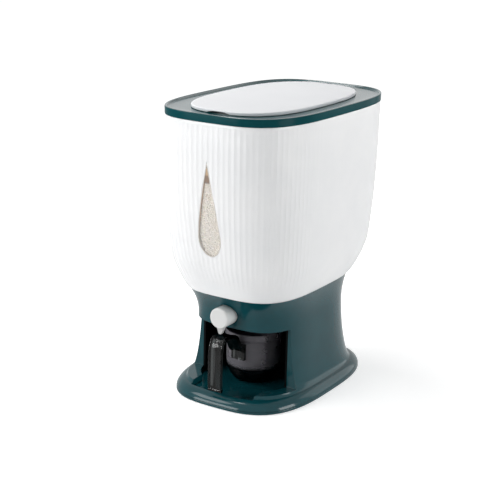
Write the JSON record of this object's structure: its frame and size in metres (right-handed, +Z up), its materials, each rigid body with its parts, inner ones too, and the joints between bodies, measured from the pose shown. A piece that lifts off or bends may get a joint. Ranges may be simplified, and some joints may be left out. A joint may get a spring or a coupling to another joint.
{
  "type": "rice dispenser",
  "caption": "Countertop rice dispenser: tall fluted tank with window and flip-top lid on an alcoved base, with a push-knob gate and a handled measuring cup.",
  "frame": {"origin": "centre of the footprint on the floor", "axes": "+X to the right as seen from the front; -Y to the front, with the knob and the cup; +Z up"},
  "size_m": [0.2, 0.32, 0.385],
  "materials": {
    "white_plastic": "glossy moulded white",
    "green_plastic": "glossy moulded dark teal green",
    "amber_window": "clear amber",
    "grey_seal": "soft matte grey",
    "clear_smoke": "clear smoke grey",
    "black_plastic": "matte black",
    "ivory_plastic": "satin ivory",
    "steel": "bright zinc-plated",
    "black_rubber": "matte rubber"
  },
  "bodies": {
    "dispenser": {"tank_shell": "white_plastic", "window_lens": "amber_window", "window_seal": "grey_seal", "hopper_funnel": "ivory_plastic", "outlet_seal": "grey_seal", "tank_screws": "steel", "base_shell": "green_plastic", "base_plate": "green_plastic", "base_screws": "steel", "rubber_feet": "black_rubber", "alcove_liner": "black_plastic", "valve_housing": "ivory_plastic", "housing_screws": "steel", "outlet_spout": "ivory_plastic", "knob_bush": "green_plastic"},
    "lid": {"lid_frame": "green_plastic", "lid_seal": "grey_seal", "hinge_pin": "steel"},
    "cover": {"flip_cover": "white_plastic", "cover_seal": "grey_seal"},
    "plunger": {"push_knob": "white_plastic", "push_rod": "steel", "rod_clip": "steel", "gate_plate": "ivory_plastic", "return_spring": "steel"},
    "cup": {"cup_body": "clear_smoke", "cup_handle": "clear_smoke"}
  },
  "joints": [
    {"name": "lid_lift", "type": "slide", "parent": "dispenser", "child": "lid", "axis": [0, 0, 1], "range_m": [0, 0.04]},
    {"name": "cover_hinge", "type": "hinge", "parent": "lid", "child": "cover", "pos_m": [0, 0.126, 0.3779], "axis": [-1, 0, 0], "range_deg": [0, 95]},
    {"name": "knob_press", "type": "slide", "parent": "dispenser", "child": "plunger", "axis": [0, 1, 0], "range_m": [0, 0.014], "stiffness_N_per_m": 200, "springref_m": -0.01, "deforming": ["return_spring"]},
    {"name": "cup_pull", "type": "slide", "parent": "dispenser", "child": "cup", "axis": [0, -0.9945, 0.1045], "range_m": [0, 0.16]}
  ]
}
